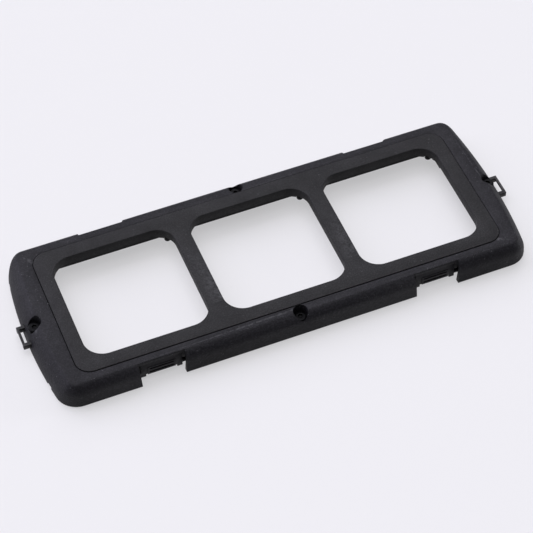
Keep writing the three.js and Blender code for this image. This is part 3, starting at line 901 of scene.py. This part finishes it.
def add_camera():
    back = Vector((math.sin(AZIMUTH) * math.cos(ELEVATION), -math.cos(AZIMUTH) * math.cos(ELEVATION),
                   math.sin(ELEVATION)))
    bpy.ops.object.camera_add(location=AIM + back * DISTANCE, rotation=camera_turn(back, ROLL).to_euler())
    camera = name_last("camera")
    camera.data.lens = LENS
    camera.data.sensor_width = 36
    camera.data.clip_start = 10 * MM
    camera.data.clip_end = 20
    bpy.context.scene.camera = camera


def add_sky_light(name, azimuth, elevation, spread, strength, colour=(1, 1, 1)):
    """A very wide, distant softbox: even over the whole floor, with soft shadows."""
    azimuth, elevation = math.radians(azimuth), math.radians(elevation)
    towards = Vector((math.sin(azimuth) * math.cos(elevation), math.cos(azimuth) * math.cos(elevation),
                      math.sin(elevation)))
    turn = towards.to_track_quat("Z", "Y").to_euler()
    bpy.ops.object.light_add(type="SUN", location=towards, rotation=turn)
    light = name_last(name)
    light.data.angle = math.radians(spread)
    light.data.energy = strength
    light.data.color = colour


def build_stage():
    bpy.ops.mesh.primitive_plane_add(size=8, location=(0, 0, 0))
    floor = name_last("studio_floor")
    floor.data.materials.append(floor_card(colours().floor))
    add_camera()
    add_sky_light("top_softbox", -60, 84, 55, 1.8, (0.98, 0.97, 1))
    add_sky_light("far_softbox", 21, 46, 60, 1.8, (0.93, 0.92, 1))
    add_sky_light("left_softbox", -48, 30, 60, 2.8, (0.86, 0.84, 1))
    add_sky_light("right_rim", 98, 14, 25, 1.2, (0.95, 0.94, 1))
    world = bpy.context.scene.world or bpy.data.worlds.new("world")
    bpy.context.scene.world = world
    world.use_nodes = True
    backdrop = world.node_tree.nodes["Background"]
    backdrop.inputs["Color"].default_value = (0.9, 0.93, 1, 1)
    backdrop.inputs["Strength"].default_value = 0.05
    bpy.context.scene.view_settings.view_transform = "Standard"


# ---- Operators and panel ----

def operator(label, description, build):
    """An operator class that runs one build function."""
    key = label.lower().replace(" ", "_")

    def execute(self, context):
        build()
        return {"FINISHED"}

    body = {"bl_idname": f"carrier.{key}", "bl_label": label, "__doc__": description, "execute": execute,
            "bl_options": {"REGISTER", "UNDO"}}
    return type(f"CARRIER_OT_{key}", (bpy.types.Operator,), body)


OPERATORS = [
    operator("Stage", "Adds the floor, the lights and the camera", build_stage),
    operator("Cover shell", "Builds the moulded cover with its skirt, bores, notches and knuckles",
             build_cover_shell),
    operator("Face plate", "Builds the inlaid face plate and its window rims", build_face_plate),
    operator("Pressure frame", "Builds the thin frame under the cover's deck", build_pressure_frame),
    operator("Screws", "Builds the four socket-head screws", build_screws),
    operator("Register pins", "Builds the pin at the corner of each window", build_register_pins),
    operator("Keepers", "Builds the two keepers at the ends", build_keepers),
    operator("Base frame", "Builds the base that the film lies on", build_base_frame),
    operator("Latches", "Builds the two press latches", build_latches),
    operator("Film rails", "Builds the two strips that guide the film", build_film_rails),
    operator("Small steel", "Builds the hinge pins and the leaf springs", build_small_steel),
    operator("Foot pads", "Builds the four rubber pads", build_foot_pads),
]


class CARRIER_PT_panel(bpy.types.Panel):
    """Lists the carrier's sizes, colours and build steps"""
    bl_label = "Film Carrier"
    bl_idname = "CARRIER_PT_panel"
    bl_space_type = "VIEW_3D"
    bl_region_type = "UI"
    bl_category = "Film Carrier"

    def draw(self, context):
        for group in (context.scene.carrier_sizes, context.scene.carrier_colours):
            for key in group.__annotations__:
                self.layout.prop(group, key)
        for made in OPERATORS:
            self.layout.operator(made.bl_idname)


CLASSES = [CarrierSizes, CarrierColours, *OPERATORS, CARRIER_PT_panel]


def register():
    for made in CLASSES:
        bpy.utils.register_class(made)
    bpy.types.Scene.carrier_sizes = bpy.props.PointerProperty(type=CarrierSizes)
    bpy.types.Scene.carrier_colours = bpy.props.PointerProperty(type=CarrierColours)


def unregister():
    del bpy.types.Scene.carrier_sizes
    del bpy.types.Scene.carrier_colours
    for made in reversed(CLASSES):
        bpy.utils.unregister_class(made)


def main():
    register()
    for made in OPERATORS:
        step = getattr(bpy.ops.carrier, made.bl_idname.split(".")[1])
        step()


if __name__ == "__main__":
    main()
